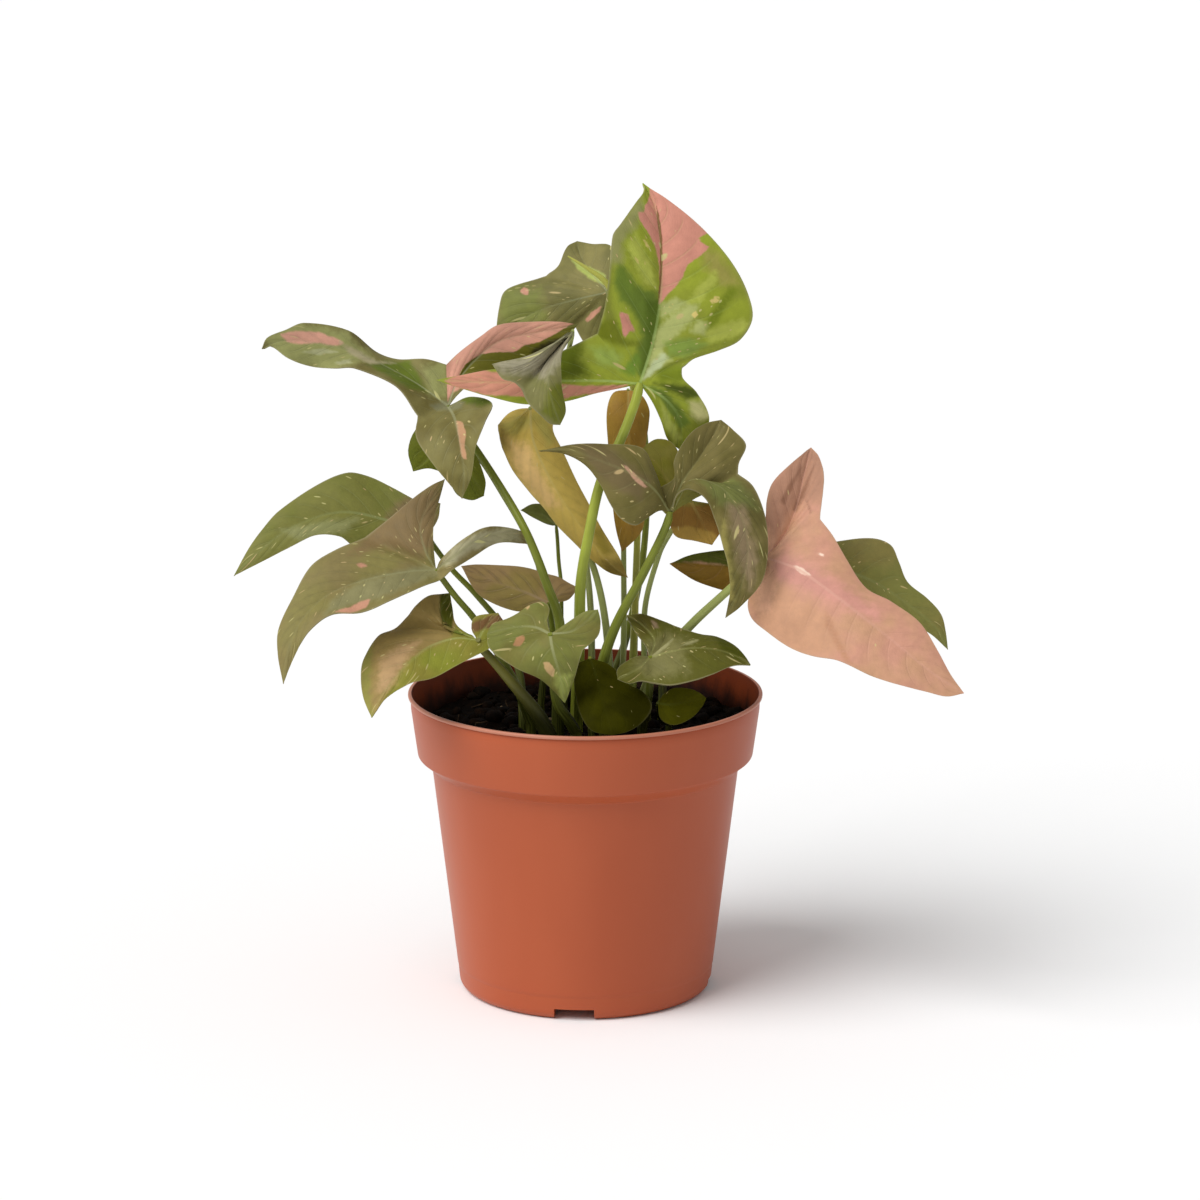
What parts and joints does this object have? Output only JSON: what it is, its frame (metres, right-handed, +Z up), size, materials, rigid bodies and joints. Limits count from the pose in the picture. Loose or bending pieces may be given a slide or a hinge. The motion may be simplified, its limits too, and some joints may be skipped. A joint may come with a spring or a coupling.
{
  "type": "potted arrowhead plant",
  "caption": "Arrowhead plant with variegated green, olive and pink lobed leaves on slender stalks, in a terracotta-coloured round plastic nursery pot.",
  "frame": {"origin": "centre of the pot's underside, on the surface it stands on", "axes": "+Z up along the pot's axis, -Y towards the viewer of the front"},
  "size_m": [0.2411, 0.1305, 0.2749],
  "materials": {
    "pot": "moulded terracotta-coloured polypropylene, satin",
    "soil": null,
    "stem": null,
    "rolled_leaf": null,
    "crown_leaf": null,
    "back_leaf": null,
    "folded_leaf": null,
    "star_leaf": null,
    "tucked_leaf": null,
    "left_leaf": null,
    "far_left_leaf": null,
    "rim_left_leaf": null,
    "spotted_leaf": null,
    "striped_leaf": null,
    "ochre_leaf": null,
    "hanging_leaf": null,
    "arching_leaf": null,
    "shaded_leaf": null,
    "pink_leaf": null,
    "far_right_leaf": null,
    "rim_right_leaf": null,
    "inner_leaf": null,
    "low_leaf": null,
    "small_leaf": null
  },
  "bodies": {
    "root": {"pot": "pot", "soil": "soil", "crown_leaf": "crown_leaf", "crown_stem": "stem", "back_leaf": "back_leaf", "back_stem": "stem", "folded_leaf": "folded_leaf", "folded_stem": "stem", "star_leaf": "star_leaf", "star_stem": "stem", "tucked_leaf": "tucked_leaf", "tucked_stem": "stem", "left_leaf": "left_leaf", "left_stem": "stem", "far_left_leaf": "far_left_leaf", "far_left_stem": "stem", "rim_left_leaf": "rim_left_leaf", "rim_left_stem": "stem", "spotted_leaf": "spotted_leaf", "spotted_stem": "stem", "striped_leaf": "striped_leaf", "striped_stem": "stem", "ochre_leaf": "ochre_leaf", "ochre_stem": "stem", "hanging_leaf": "hanging_leaf", "hanging_stem": "stem", "arching_leaf": "arching_leaf", "arching_stem": "stem", "shaded_leaf": "shaded_leaf", "shaded_stem": "stem", "pink_leaf": "pink_leaf", "pink_stem": "stem", "far_right_leaf": "far_right_leaf", "far_right_stem": "stem", "rim_right_leaf": "rim_right_leaf", "rim_right_stem": "stem", "inner_leaf": "inner_leaf", "inner_stem": "stem", "low_leaf": "low_leaf", "low_stem": "stem", "small_leaf": "small_leaf", "small_stem": "stem", "rolled_leaf": "rolled_leaf"}
  },
  "joints": []
}
